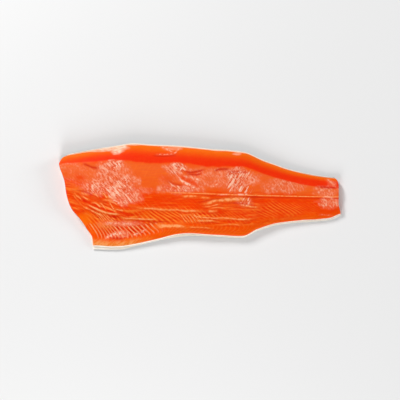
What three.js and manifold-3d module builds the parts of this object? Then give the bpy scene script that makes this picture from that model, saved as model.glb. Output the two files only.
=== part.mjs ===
// Raw salmon fillet with its skin on, lying skin side down. One solid, in millimetres, +Z up.
// X runs from the head cut to the tail cut, +Y towards the back of the fish, -Y towards its belly.
// The origin is under the middle of the fillet, on the surface that it lies on.
//
// The body is lofted through lines that follow the flakes of the muscle, from past the head to past
// the tail, and two knives then cut it off at its ends, as a fillet is cut from the fish.

import * as THREE from "three";
import { mergeVertices } from "three/addons/utils/BufferGeometryUtils.js";
import Module from "manifold-3d";

const { clamp, lerp, smoothstep } = THREE.MathUtils;

// Outline. Each pair is [mm from the head end, mm from the length axis].
const LENGTH = 430;
const BACK_EDGE = [
  [0, 60], [14, 64], [55, 72], [90, 77.5], [110, 80.7], [140, 78.8], [185, 77], [222, 73],
  [283, 67.5], [307, 57.5], [352, 41.5], [398, 31.5], [430, 29],
];
const BELLY_EDGE = [
  [0, -80], [52, -80.4], [93, -80.8], [123, -74], [169, -63.5], [200, -60.2], [245, -61.7],
  [282, -62.6], [302, -53], [337, -43], [399, -37.6], [415, -35.5], [430, -29.8],
];
const HEAD_CUT = [
  [14.5, 63.5], [6.8, 60], [2.2, 54.5], [0, 48], [7.9, 24], [11.6, 1], [19, -19], [32, -34.5],
  [43, -50.5], [50.4, -62], [52, -80],
];
const TAIL_CUT = [
  [412, 31.5], [421, 27.7], [425.5, 21], [426.5, 8], [426.5, -12], [429, -24], [430, -30],
];

// The midline, where the back muscle meets the belly muscle, as [mm from the head end, mm from the axis].
const MIDLINE = [[0, 27], [40, 19], [85, 11.5], [155, 6.5], [215, 4.3], [300, 1.6], [430, 0.5]];

// Height of the loin, its thickest part, as [mm from the head end, mm].
const LOIN_HEIGHT = [
  [0, 20.5], [60, 23.5], [125, 24.5], [215, 22.5], [295, 18], [345, 14], [398, 10.5], [430, 9],
];

// Height across the fillet as a share of the loin's. Across goes from 1 at the back edge over 0,
// the midline, to -1 at the belly edge, here and below.
const RIB_CAGE_SECTION = [
  [-1, 0.2], [-0.95, 0.28], [-0.86, 0.35], [-0.7, 0.4], [-0.56, 0.53], [-0.35, 0.81], [-0.12, 0.94],
  [0.1, 0.96], [0.35, 1], [0.58, 0.98], [0.72, 0.86], [0.86, 0.66], [0.95, 0.47], [1, 0.36],
];
const TAIL_SECTION = [
  [-1, 0.34], [-0.93, 0.54], [-0.8, 0.76], [-0.6, 0.92], [-0.35, 1], [0, 0.98], [0.35, 1],
  [0.6, 0.96], [0.78, 0.82], [0.92, 0.58], [1, 0.38],
];
const RIB_CAGE_FADE = [120, 225]; // the rib cage's hollow fades out between these distances from the head end

// Flakes: sheets of muscle a vertebra apart, folded into a zigzag with its middle fold towards the head.
const HEAD_PITCH = 7.7;
const TAIL_PITCH = 6.4;
const ZIGZAG = [
  [-1, 36], [-0.9, 54], [-0.8, 63], [-0.7, 57], [-0.56, 46], [-0.4, 31], [-0.2, 14], [0, 0],
  [0.2, 8], [0.45, 20], [0.66, 30], [0.85, 24], [1, 12],
];
const TAIL_ZIGZAG = 0.5; // the zigzag's size at the tail end, as a share of that at the head end
const FLAKE_DEPTH = 0.4;
const FLAKE_WANDER = { size: 1.3, along: 61, across: 29 };

// Furrows that the rib bones left, along the seams of the belly flap.
const RIB_FURROW_DEPTH = 1.1;
const RIB_FURROW_BAND = [-0.54, -0.6, -0.84, -0.92]; // across the fillet: furrows start, full, full, end
const RIB_FURROW_FADE = [138, 178];

// Creases that run along the fillet. Drift is how far a crease moves across it over that length.
const CREASES = [
  { across: -0.57, drift: -0.05, depth: 1.1, from: 60, to: 215 },
  { across: -0.15, drift: 0.16, depth: 0.8, from: 190, to: 330 },
];
const CREASE_HALF_WIDTH = 2.2;

// Skin: it shows as a thin margin beyond the flesh, and curls up off the surface along both edges.
const SKIN = 1.2;
const BELLY_MARGIN = 3.2;
const BACK_MARGIN = 1.6;
const BACK_CURL = { from: 0.68, rise: 0.24 }; // rise is a share of the loin's height
const BELLY_CURL = { from: 0.86, rise: 0.04 };

const MIDLINE_GROOVE = { depth: 0.7, halfWidth: 3 };
const SWELL = { height: 0.5, along: 74, across: 47 }; // slow rise and fall of the soft flesh

const HEAD_CUT_LEAN = 0.14; // mm that the cut runs back for each mm of height
const TAIL_CUT_LEAN = 0.1;
const CUT_STEPS = 3; // straight pieces between two points of a cut
const KNIFE = { reach: 120, below: 10, above: 40 };

// Where the loft's points lie across the top and the underside, from back edge to belly edge and on round.
const TOP_STEPS = [
  1, 0.95, 0.87, 0.77, 0.67, 0.57, 0.44, 0.3, 0.16, 0.05, 0, -0.05, -0.1, -0.15, -0.25, -0.36, -0.46, -0.53,
  -0.58, -0.63, -0.7, -0.78, -0.86, -0.93, -1,
];
const UNDERSIDE_STEPS = [-0.86, 0, 0.68, 0.84, 0.93];

const FLESH = new THREE.MeshStandardMaterial({ color: 0xf05a1e, roughness: 0.35, metalness: 0 });

// A smooth curve through [position, value] pairs, level past both ends.
function through(keys) {
  const last = keys.length - 1;
  const slopes = keys.map((key, i) => {
    if (i === 0 || i === last) return 0;
    return (keys[i + 1][1] - keys[i - 1][1]) / (keys[i + 1][0] - keys[i - 1][0]);
  });
  return (position) => {
    if (position <= keys[0][0]) return keys[0][1];
    if (position >= keys[last][0]) return keys[last][1];
    const i = keys.findIndex((key) => key[0] > position) - 1;
    const [from, low] = keys[i];
    const [to, high] = keys[i + 1];
    const span = to - from;
    const t = (position - from) / span;
    const rise = t * t * (3 - 2 * t);
    const leave = t * (1 - t) * (1 - t) * span * slopes[i];
    const arrive = t * t * (t - 1) * span * slopes[i + 1];
    return low + (high - low) * rise + leave + arrive;
  };
}

const backEdge = through(BACK_EDGE);
const bellyEdge = through(BELLY_EDGE);
const midline = through(MIDLINE);
const loinHeight = through(LOIN_HEIGHT);
const ribCageSection = through(RIB_CAGE_SECTION);
const tailSection = through(TAIL_SECTION);
const zigzag = through(ZIGZAG);

// How far a place across the fillet is from the length axis. Margin is what the edge is drawn in by.
function offAxis(x, across, margin = 0) {
  const middle = midline(x);
  if (across >= 0) return lerp(middle, backEdge(x) - margin * BACK_MARGIN, across);
  return lerp(middle, bellyEdge(x) + margin * BELLY_MARGIN, -across);
}

function underside(x, across) {
  const curl = (reach, { from, rise }) => rise * Math.max(0, (reach - from) / (1 - from)) ** 2;
  return loinHeight(x) * (curl(across, BACK_CURL) + curl(-across, BELLY_CURL));
}

// How deep the seam between two flakes lies at a place.
function seamDepth(x, across) {
  const [start, full, fullEnd, end] = RIB_FURROW_BAND;
  const inBand = smoothstep(-across, -start, -full) * (1 - smoothstep(-across, -fullEnd, -end));
  const furrow = inBand * (1 - smoothstep(x, ...RIB_FURROW_FADE));
  const fadeAtEdges = 1 - smoothstep(Math.abs(across), 0.86, 0.97);
  return lerp(FLAKE_DEPTH * fadeAtEdges, RIB_FURROW_DEPTH, furrow);
}

// How deep the midline's groove and the long creases are at a place.
function creaseDepth(x, y) {
  const hollow = (middle, halfWidth) => Math.exp(-(((y - middle) / halfWidth) ** 2));
  let depth = MIDLINE_GROOVE.depth * hollow(midline(x), MIDLINE_GROOVE.halfWidth);
  for (const crease of CREASES) {
    const way = clamp((x - crease.from) / (crease.to - crease.from), 0, 1);
    const middle = offAxis(x, crease.across + crease.drift * (way - 0.5));
    depth += crease.depth * Math.sin(Math.PI * way) * hollow(middle, CREASE_HALF_WIDTH);
  }
  return depth;
}

function topHeight(x, across) {
  const y = offAxis(x, across);
  const shape = lerp(ribCageSection(across), tailSection(across), smoothstep(x, ...RIB_CAGE_FADE));
  const swell = Math.sin((x / SWELL.along) * Math.PI + 1) * Math.sin((y / SWELL.across) * Math.PI);
  return (loinHeight(x) + SWELL.height * swell) * shape - creaseDepth(x, y);
}

// One line of the loft: a closed loop over the top and back under the skin, along a seam between
// two flakes or along the crest of a flake.
function flakeLine(base, isSeam) {
  const size = lerp(1, TAIL_ZIGZAG, clamp(base / LENGTH, 0, 1));
  const wander = (across) => {
    const y = offAxis(base, across);
    return FLAKE_WANDER.size * Math.sin((base / FLAKE_WANDER.along + y / FLAKE_WANDER.across) * Math.PI);
  };
  const loop = [];
  const add = (across, margin, height) => {
    const x = base + size * zigzag(across) + wander(across);
    loop.push(new THREE.Vector3(x, offAxis(x, across, margin), height(x)));
  };
  for (const across of TOP_STEPS)
    add(across, 1, (x) => topHeight(x, across) - (isSeam ? seamDepth(x, across) : 0));
  add(-1, 1, (x) => underside(x, -1) + SKIN);
  add(-1, 0, (x) => underside(x, -1) + SKIN);
  add(-1, 0, (x) => underside(x, -1));
  for (const across of UNDERSIDE_STEPS) add(across, 0, (x) => underside(x, across));
  add(1, 0, (x) => underside(x, 1));
  add(1, 0, (x) => underside(x, 1) + SKIN);
  add(1, 1, (x) => underside(x, 1) + SKIN);
  return loop;
}

// The loops from past the head cut to past the tail cut, two to a flake.
function flakeLines() {
  const reach = Math.max(...ZIGZAG.map((key) => key[1])) + HEAD_PITCH;
  const lines = [];
  let isSeam = true;
  for (let base = -reach; base < LENGTH + TAIL_PITCH; ) {
    lines.push(flakeLine(base, isSeam));
    isSeam = !isSeam;
    base += lerp(HEAD_PITCH, TAIL_PITCH, clamp(base / LENGTH, 0, 1)) / 2;
  }
  return lines;
}

// A closed body through the loops, each of its ends shut by a fan.
function loft(loops) {
  const count = loops[0].length;
  const positions = loops.flat().flatMap((point) => point.toArray());
  const index = [];
  for (let line = 0; line + 1 < loops.length; line++)
    for (let i = 0; i < count; i++) {
      const a = line * count + i;
      const b = line * count + ((i + 1) % count);
      index.push(a, b, b + count, a, b + count, a + count);
    }
  for (const [line, facesHead] of [[0, true], [loops.length - 1, false]]) {
    const middle = loops[line].reduce((sum, point) => sum.add(point), new THREE.Vector3());
    middle.divideScalar(count);
    const centre = positions.length / 3;
    positions.push(...middle.toArray());
    for (let i = 0; i < count; i++) {
      const a = line * count + i;
      const b = line * count + ((i + 1) % count);
      index.push(...(facesHead ? [centre, b, a] : [centre, a, b]));
    }
  }
  return new THREE.BufferGeometry()
    .setAttribute("position", new THREE.Float32BufferAttribute(positions, 3))
    .setIndex(index);
}

// A blade that takes off all that lies beyond a cut. Towards is -1 for the head end and 1 for the tail end.
function knife(cut, towards, lean) {
  const points = cut.map(([x, y]) => new THREE.Vector2(x, y));
  const first = points[0];
  const last = points[points.length - 1];
  const far = towards < 0 ? -KNIFE.reach : LENGTH + KNIFE.reach;
  const shape = new THREE.Shape();
  shape.moveTo(far, KNIFE.reach);
  shape.lineTo(first.x - 2 * towards, KNIFE.reach);
  shape.lineTo(first.x, first.y);
  shape.splineThru(points.slice(1));
  shape.lineTo(last.x, -KNIFE.reach);
  shape.lineTo(far, -KNIFE.reach);
  const options = { depth: KNIFE.above + KNIFE.below, bevelEnabled: false, curveSegments: CUT_STEPS };
  const leaning = new THREE.Matrix4().makeShear(0, 0, 0, 0, -towards * lean, 0);
  return new THREE.ExtrudeGeometry(shape, options).translate(0, 0, -KNIFE.below).applyMatrix4(leaning);
}

const wasm = await Module();
wasm.setup();

function solidOf(geometry) {
  const bare = geometry.clone();
  bare.deleteAttribute("normal");
  bare.deleteAttribute("uv");
  const merged = mergeVertices(bare, 1e-4);
  return new wasm.Manifold(
    new wasm.Mesh({
      numProp: 3,
      vertProperties: merged.attributes.position.array,
      triVerts: new Uint32Array(merged.index.array),
    }),
  );
}

function geometryOf(solid) {
  const { vertProperties, triVerts } = solid.getMesh();
  return new THREE.BufferGeometry()
    .setAttribute("position", new THREE.Float32BufferAttribute(vertProperties, 3))
    .setIndex(new THREE.BufferAttribute(triVerts, 1));
}

function salmonFillet() {
  const headKnife = solidOf(knife(HEAD_CUT, -1, HEAD_CUT_LEAN));
  const tailKnife = solidOf(knife(TAIL_CUT, 1, TAIL_CUT_LEAN));
  const geometry = geometryOf(solidOf(loft(flakeLines())).subtract(headKnife).subtract(tailKnife));
  geometry.computeBoundingBox();
  const { min, max } = geometry.boundingBox;
  geometry.translate(-(min.x + max.x) / 2, -(min.y + max.y) / 2, -min.z);
  geometry.computeVertexNormals();
  const mesh = new THREE.Mesh(geometry, FLESH);
  mesh.name = "salmon_fillet";
  return mesh;
}

const part = new THREE.Group();
part.add(salmonFillet());

export default part;
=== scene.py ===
# %% [markdown]
# # A raw salmon fillet
# A fillet is one side of a fish, cut off along its bones. This one lies on its skin, so its flesh
# shows, with the head end at -X, the tail end at +X, the back of the fish at +Y and its belly at -Y.
# The solid part comes first, as a fixed frame. Its shape and size stay as they are, and the lesson
# builds a finer body and a skin in the same place, and then gives them their finishes.

# %% Load the solid part
import math

import bpy
import numpy as np
from mathutils.bvhtree import BVHTree
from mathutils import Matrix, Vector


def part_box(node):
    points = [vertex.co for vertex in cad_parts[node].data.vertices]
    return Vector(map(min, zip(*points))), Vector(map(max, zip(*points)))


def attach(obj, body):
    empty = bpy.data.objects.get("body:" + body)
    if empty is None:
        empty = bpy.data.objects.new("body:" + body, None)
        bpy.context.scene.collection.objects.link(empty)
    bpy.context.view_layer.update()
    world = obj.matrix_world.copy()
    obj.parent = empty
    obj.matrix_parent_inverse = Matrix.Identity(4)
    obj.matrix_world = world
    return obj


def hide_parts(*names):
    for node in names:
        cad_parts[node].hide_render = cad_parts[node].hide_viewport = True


MM = 0.001
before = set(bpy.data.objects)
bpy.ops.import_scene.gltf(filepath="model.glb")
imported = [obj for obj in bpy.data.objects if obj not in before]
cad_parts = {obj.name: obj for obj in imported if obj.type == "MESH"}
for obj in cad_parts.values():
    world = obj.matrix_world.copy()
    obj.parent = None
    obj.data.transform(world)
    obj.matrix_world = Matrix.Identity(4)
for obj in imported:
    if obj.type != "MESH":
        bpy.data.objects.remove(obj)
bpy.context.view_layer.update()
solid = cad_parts["salmon_fillet"]

# %% [markdown]
# ## Camera and floor
# The fillet is seen from straight above. A long lens from high up draws its near and far parts at
# almost the same scale, as a flat drawing would. Lens and height are worked out from the width of
# table that the picture takes in, so one number sets how large the fillet stands in it.

# %% Camera
VIEW_WIDTH = 610 * MM  # of the table, across the picture
CAMERA_HEIGHT = 1.6
SENSOR = 36
FILLET_ABOVE_MIDDLE = 5.5 * MM  # how far up the picture the fillet's middle is from its centre

camera_data = bpy.data.cameras.new("camera")
camera_data.sensor_width = SENSOR
camera_data.lens = SENSOR * CAMERA_HEIGHT / VIEW_WIDTH
camera = bpy.data.objects.new("camera", camera_data)
camera.location = (0, -FILLET_ABOVE_MIDDLE, CAMERA_HEIGHT)
bpy.context.collection.objects.link(camera)
bpy.context.scene.camera = camera
print("The lens is", round(camera_data.lens, 1), "mm long.")

# %% Floor
FLOOR_SIZE = 8
FLOOR_DROP = 0.3 * MM  # below the skin, so that the two faces don't flicker into each other
FLOOR_GREY = 0.82
FLOOR_ROUGHNESS = 0.9

bpy.ops.mesh.primitive_plane_add(size=FLOOR_SIZE, location=(0, 0, -FLOOR_DROP))
floor = bpy.context.object
floor.name = "floor"
pale = bpy.data.materials.new("pale_floor")
pale.use_nodes = True
pale_shader = pale.node_tree.nodes["Principled BSDF"]
pale_shader.inputs["Base Color"].default_value = (FLOOR_GREY, FLOOR_GREY, FLOOR_GREY, 1)
pale_shader.inputs["Roughness"].default_value = FLOOR_ROUGHNESS
floor.data.materials.append(pale)
print("The floor is", FLOOR_SIZE, "m wide.")

# %% [markdown]
# ## Light
# Wet flesh is judged by its gloss, and a panel overhead would be mirrored in all that lies level, as
# a grey veil. So every panel stands low. The main one is behind the back edge, at the head end, and
# gives each ridge a light side and a shaded one. The front panel only fills the shade: it is kept
# out of reflections, or the slope of the belly would shine like plastic.

# %% Lights
LIGHTS = {
    "back_panel": {"at": (-1.25, 1.65, 1.2), "size": 0.52, "watts": 49, "mirrored": True},
    "front_panel": {"at": (-0.3, -1.6, 0.75), "size": 0.7, "watts": 21.5, "mirrored": False},
    "side_panel": {"at": (1.6, 0.2, 0.8), "size": 0.7, "watts": 10, "mirrored": True},
}
SKY = 0.22  # strength of the even white light from all round

for name, panel in LIGHTS.items():
    light_data = bpy.data.lights.new(name, "AREA")
    light_data.size = panel["size"]
    light_data.energy = panel["watts"]
    light = bpy.data.objects.new(name, light_data)
    light.location = panel["at"]
    light.visible_glossy = panel["mirrored"]
    light.rotation_euler = (-light.location).to_track_quat("-Z", "Y").to_euler()
    bpy.context.collection.objects.link(light)

world = bpy.data.worlds.new("sky")
world.use_nodes = True
world.node_tree.nodes["Background"].inputs["Color"].default_value = (1, 1, 1, 1)
world.node_tree.nodes["Background"].inputs["Strength"].default_value = SKY
bpy.context.scene.world = world
bpy.context.scene.view_settings.view_transform = "Standard"
print(len(LIGHTS), "panels and a sky light the fillet.")

# %% [markdown]
# ## Outline
# Every size below is in millimetres. A place on the fillet has two coordinates that follow the
# fish: *along*, the distance from the head end, and *across*, which is 1 at the back edge, 0 on the
# midline and -1 at the belly edge. The edges are smooth curves through a few measured places.

# %% Smooth curves and steps
LENGTH = 430


def through(keys):
    """A smooth curve through (position, value) pairs, level past both ends."""
    position, value = np.array(keys, float).T
    slope = np.zeros(len(position))
    slope[1:-1] = (value[2:] - value[:-2]) / (position[2:] - position[:-2])

    def curve(place):
        place = np.clip(place, position[0], position[-1])
        i = np.clip(np.searchsorted(position, place, side="right") - 1, 0, len(position) - 2)
        span = position[i + 1] - position[i]
        t = (place - position[i]) / span
        leave = t * (1 - t) ** 2 * span * slope[i]
        arrive = t**2 * (t - 1) * span * slope[i + 1]
        return value[i] + (value[i + 1] - value[i]) * t**2 * (3 - 2 * t) + leave + arrive

    return curve


def smoothstep(place, start, end):
    """From 0 at start to 1 at end, eased at both."""
    t = np.clip((place - start) / (end - start), 0, 1)
    return t * t * (3 - 2 * t)


def stretch(place, start, full, fade, end):
    """From 0 at start to 1 at full, and from 1 at fade back to 0 at end."""
    return smoothstep(place, start, full) * (1 - smoothstep(place, fade, end))


def bell(distance, half_width):
    """1 at no distance, and next to nothing two half widths away."""
    return np.exp(-((distance / half_width) ** 2))


print("A step is", smoothstep(np.array([0, 0.25, 0.5, 1]), 0, 1), "at 0, 1/4, 1/2 and 1 of its way.")

# %% Outline of the fillet
back_edge = through(
    [(0, 60), (14, 64), (55, 72), (90, 77.5), (110, 80.7), (140, 78.8), (185, 77), (222, 73),
     (283, 67.5), (307, 57.5), (352, 41.5), (398, 31.5), (430, 29)]
)
belly_edge = through(
    [(0, -80), (52, -80.4), (93, -80.8), (123, -74), (169, -63.5), (200, -60.2), (245, -61.7),
     (282, -62.6), (302, -53), (337, -43), (399, -37.6), (415, -35.5), (430, -29.8)]
)
midline = through([(0, 27), (40, 19), (85, 11.5), (155, 6.5), (215, 4.3), (300, 1.5), (430, -0.7)])
head_cut = through(  # how far along the cut is, at each place off the axis
    [(-80, 52), (-62, 50.4), (-50.5, 43), (-34.5, 32), (-19, 19), (1, 11.6), (24, 7.9), (48, 0),
     (54.5, 2.2), (60, 6.8), (63.5, 14.5)]
)
tail_cut = through(
    [(-30, 430), (-24, 429), (-12, 426.5), (8, 426.5), (21, 425.5), (27.7, 421), (31.5, 412)]
)
print("At its middle the fillet is", round(float(back_edge(215) - belly_edge(215))), "mm wide.")

# %% Places across the fillet
BACK_MARGIN = 1.4  # skin that shows beyond the flesh
SETTLING_ROUNDS = 40

belly_margin = through(
    [(0, 4.4), (95, 3.6), (128, 1.8), (152, 1.8), (178, 3.2), (200, 3), (230, 2), (290, 1.8),
     (330, 2.4), (430, 2.6)]
)


def off_axis(along, across, margin=0):
    """How far a place is from the length axis. A margin of 1 stops at the flesh's edge."""
    middle = midline(along)
    back = back_edge(along) - margin * BACK_MARGIN
    belly = belly_edge(along) + margin * belly_margin(along)
    return np.where(across >= 0, middle + (back - middle) * across, middle - (belly - middle) * across)


def cut_at(cut, across, margin):
    """Where a line at one place across the fillet meets one of its two cuts."""
    along = cut(np.zeros_like(across))
    for _ in range(SETTLING_ROUNDS):
        along = cut(off_axis(along, across, margin))
    return along


edge_row = np.array([-1.0, 0, 1])
print("The head cut runs from", cut_at(head_cut, edge_row, 0).round(1), "mm, belly to back.")

# %% [markdown]
# ## Height
# The loin along the back is thick, and the belly flap that lay over the rib cage is thin. So the
# height has one curve along the fillet, and two curves across it, as shares of the first: one for
# the rib cage and one for the tail. The fillet changes from one to the other on its way.

# %% Height of the flesh and the skin
SKIN = 1.2  # thickness
BACK_CURL = (0.68, 0.24)  # where the skin starts to rise off the table, and its rise at the edge
BELLY_CURL = (0.86, 0.04)
CUT_LEAN = {"head": 0.14, "tail": -0.1}  # how far a cut leans over, for each mm of height
RIB_CAGE_END, TAIL_START = 120, 225
SWELL = {"height": 0.5, "length": 74, "width": 47}  # gentle swells of the whole top

loin_height = through(
    [(0, 20.5), (60, 23.5), (125, 24.5), (215, 22.5), (295, 18), (345, 14), (398, 10.5), (430, 9)]
)
rib_cage_section = through(
    [(-1, 0.2), (-0.95, 0.28), (-0.86, 0.35), (-0.7, 0.4), (-0.56, 0.53), (-0.35, 0.81),
     (-0.12, 0.94), (0.1, 0.96), (0.35, 1), (0.58, 0.98), (0.72, 0.86), (0.86, 0.66),
     (0.95, 0.47), (1, 0.36)]
)
tail_section = through(
    [(-1, 0.34), (-0.93, 0.54), (-0.8, 0.76), (-0.6, 0.92), (-0.35, 1), (0, 0.98), (0.35, 1),
     (0.6, 0.96), (0.78, 0.82), (0.92, 0.58), (1, 0.38)]
)


def underside(along, across):
    """Height of the skin's underside, which curls up at both edges."""

    def curl(reach, start, rise):
        return rise * np.maximum(0, (reach - start) / (1 - start)) ** 2

    return loin_height(along) * (curl(across, *BACK_CURL) + curl(-across, *BELLY_CURL))


def plain_height(along, across):
    """Height of the top, without its fine relief."""
    tail = smoothstep(along, RIB_CAGE_END, TAIL_START)
    shape = rib_cage_section(across) * (1 - tail) + tail_section(across) * tail
    wave_along = np.sin(along / SWELL["length"] * np.pi + 1)
    wave_across = np.sin(off_axis(along, across) / SWELL["width"] * np.pi)
    return (loin_height(along) + SWELL["height"] * wave_along * wave_across) * shape


print("The loin is", round(float(plain_height(125.0, 0.35)), 1), "mm high.")

# %% [markdown]
# ## Flakes
# The muscle of a fish is a stack of thin sheets, the flakes, one to each bone of its back. They are
# folded into a zigzag, and the seams between them show as pale lines of fat. A picture of such
# lines could be painted on, but here every place gets its *flake number*, which is whole on a seam.
# One number then drives the relief and the colour, so the two always agree.

# %% Smooth noise
LATTICE = 128  # the noise repeats after this many lumps


def soft_noise(x, y, size, seed):
    """Smooth noise from -1 to 1, with lumps about as wide as size."""
    lattice = np.random.default_rng(seed).uniform(-1, 1, (LATTICE, LATTICE))
    u, v = x / size, y / size
    i, j = np.floor(u).astype(int), np.floor(v).astype(int)
    s, t = smoothstep(u - i, 0, 1), smoothstep(v - j, 0, 1)

    def corner(a, b):
        return lattice[(i + a) % LATTICE, (j + b) % LATTICE]

    near = corner(0, 0) * (1 - s) + corner(1, 0) * s
    far = corner(0, 1) * (1 - s) + corner(1, 1) * s
    return near * (1 - t) + far * t


few_places = np.arange(5.0)
print("Noise at five places:", soft_noise(few_places, few_places, 3, 5).round(2))

# %% Flake numbers
HEAD_PITCH, TAIL_PITCH = 7.7, 6.4
TAIL_ZIGZAG = 0.5  # how much of the zigzag is left at the tail
FIRST_SEAM = -70.7
SLANT = 30  # how far a flake's deep edge, at the skin, is from its upper edge
WANDER = {"far": 1.3, "length": 61, "width": 29}  # seams wander a little
NUMBER_ROUNDS = 8

zigzag = through(
    [(-1.1, 50), (-1, 56), (-0.92, 64), (-0.84, 66), (-0.7, 57), (-0.56, 46), (-0.4, 31),
     (-0.2, 14), (0, 0), (0.2, 8), (0.45, 20), (0.66, 30), (0.85, 24), (1, 12)]
)


def flake_number(along, across, depth=0):
    """A number that is whole on each seam. Depth is 0 on the top and 1 at the skin."""
    base = along + 0 * across
    across = across * (1 + 0.1 * smoothstep(along, 135, 185) * smoothstep(-across, 0.3, 0.7))
    for _ in range(NUMBER_ROUNDS):
        share = np.clip(base / LENGTH, 0, 1)
        y = off_axis(base, across)
        wander = WANDER["far"] * np.sin((base / WANDER["length"] + y / WANDER["width"]) * np.pi)
        fold = (1 + (TAIL_ZIGZAG - 1) * share) * zigzag(across)
        base = along - fold - wander - SLANT * depth
    share = np.clip(base / LENGTH, 0, 1)
    pitch = HEAD_PITCH + (TAIL_PITCH - HEAD_PITCH) * share
    beyond = LENGTH / (HEAD_PITCH - TAIL_PITCH) * np.log(HEAD_PITCH / pitch)
    number = (np.minimum(base, 0) - FIRST_SEAM) / HEAD_PITCH + beyond
    return number + 0.1 * soft_noise(along, off_axis(along, across), 24, 5)


def from_seam(number):
    """Distance to the nearest seam, 0 on it and 0.5 in the middle of a flake."""
    return np.abs(number - np.round(number))


middle_row = flake_number(np.array([0.0, LENGTH]), np.zeros(2))
print("The midline crosses", round(float(middle_row[1] - middle_row[0])), "flakes.")

# %% [markdown]
# ## Lines on the flesh
# Long strands of fat stand a little proud where the flesh tore off the bones, and creases run
# beside them, with shade painted into them. Wisps are thin tatters of pale film that carry painted
# glints, and along some lines the bare flesh is redder.
# Each line is a short list of places (along, off the axis) with a half width and a strength, so
# each can be moved on its own. Noise alone would make such lines too, but not where they are here.

# %% Strands of fat
LINES = {}
LINES["strands"] = [
    ([(38, -10.6), (49, -14.7), (58, -19.1), (68, -23.5), (77, -25.8), (90, -26.3), (97, -28)], 1.0, 1.2),
    ([(33, -12.4), (38, -16.4), (46, -19.1), (52, -22.2), (59, -25.8), (65, -29), (70, -33.3)], 0.9, 1.0),
    ([(49, -9.2), (55.5, -10.2), (59, -13), (64, -16.4)], 1.0, 1.0),
    ([(61.5, -10.6), (65.3, -12), (68, -15.6), (70.7, -19.1)], 0.9, 1.0),
    ([(77.5, -11), (80.5, -15.6), (83, -18.6)], 0.9, 1.0),
    ([(52.5, 3.2), (57, 1.8), (59.5, -1)], 1.0, 0.9),
    ([(67, 4.5), (70, 2), (72, -1)], 1.1, 1.0),
    ([(74.5, 0), (79, -2), (82, -4)], 1.0, 0.9),
    ([(32, 4.2), (38, 2.8), (45, 1.6)], 1.3, 0.6),
    ([(34.5, 0.2), (39, -2.7), (47, -5)], 1.0, 0.8),
    ([(22.5, 6), (26, 1.5), (30, -1.5), (35, -5.6)], 1.1, 0.7),
    ([(21, 1.5), (25.3, -3.1), (30, -8.4), (34, -13)], 1.1, 0.7),
    ([(64, -5.8), (70, -5.3), (77, -5.8), (84, -8)], 1.6, 0.6),
    ([(75, -8.3), (83, -9.3), (90, -13.1)], 0.9, 0.8),
    ([(57, -44.5), (70, -45.5), (84, -47)], 3.2, 0.5),
    ([(86, -19), (92, -20.3), (98, -21)], 0.9, 0.8),
    ([(99, -14.3), (121, -16.9), (154, -19.5), (169, -20.1), (201, -22), (235, -22)], 1.3, 0.75),
    ([(89, -32.2), (104, -33.4), (134, -34.5), (154, -34.5)], 0.9, 0.95),
    ([(183, -26.5), (197, -27.1), (212, -31), (235, -32.8), (248, -32.2), (273, -34.8),
      (292, -33.4), (310, -31)], 0.9, 0.8),
    ([(213, -36.6), (229, -36.6), (248, -38.6)], 0.7, 0.6),
    ([(144, -44.6), (160, -44.6), (178, -44.8), (197, -46.6)], 2.5, 0.85),
    ([(192, -46), (204, -46.8), (218, -46.9), (235, -48.6)], 1.0, 0.6),
    ([(207, -36.4), (216, -37), (226, -37), (240, -36.6)], 1.1, 0.8),
    ([(242, -44.2), (258, -42.4), (280, -43.6)], 0.8, 0.6),
    ([(185, 0.6), (198, 0.4), (212, 0)], 1.4, 0.7),
    ([(216, -2), (223, -2.2), (229, -2.4)], 1.1, 0.6),
    ([(216, -11.9), (235, -8.1), (249, -6.3)], 0.9, 0.6),
    ([(226, -22), (233, -22), (241, -22.4)], 1.5, 0.7),
    ([(218, -15.6), (232, -14.6), (247, -12.4)], 0.9, 0.7),
    ([(228, -18.2), (240, -17.2), (253, -17)], 0.9, 0.6),
    ([(274, -13.1), (292, -15.7), (305, -16)], 0.9, 0.8),
    ([(214, -11.6), (229, -9.6), (241, -6.4), (261, -4.6), (284, -4.4), (296, -5)], 2.2, 0.8),
]
SHORT_STARTS = (183, 188, 193, 198.5, 204, 210)  # of short slanting strands, side by side
FAN_SHIFTS = (-4, 0, 4, 9, 14)  # of the lowest strands of the fan near the head

for start in SHORT_STARTS:
    keys = [(start, -27), (start + 5, -32), (start + 11, -38.5)]
    LINES["strands"].append((keys, 1.0, 0.75))
for shift in FAN_SHIFTS:
    keys = [(56 + shift, -23 - shift / 3), (63 + shift, -30 - shift / 5), (71 + shift, -38)]
    LINES["strands"].append((keys, 1.1, 0.65))
print(len(LINES["strands"]), "strands are placed.")

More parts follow.
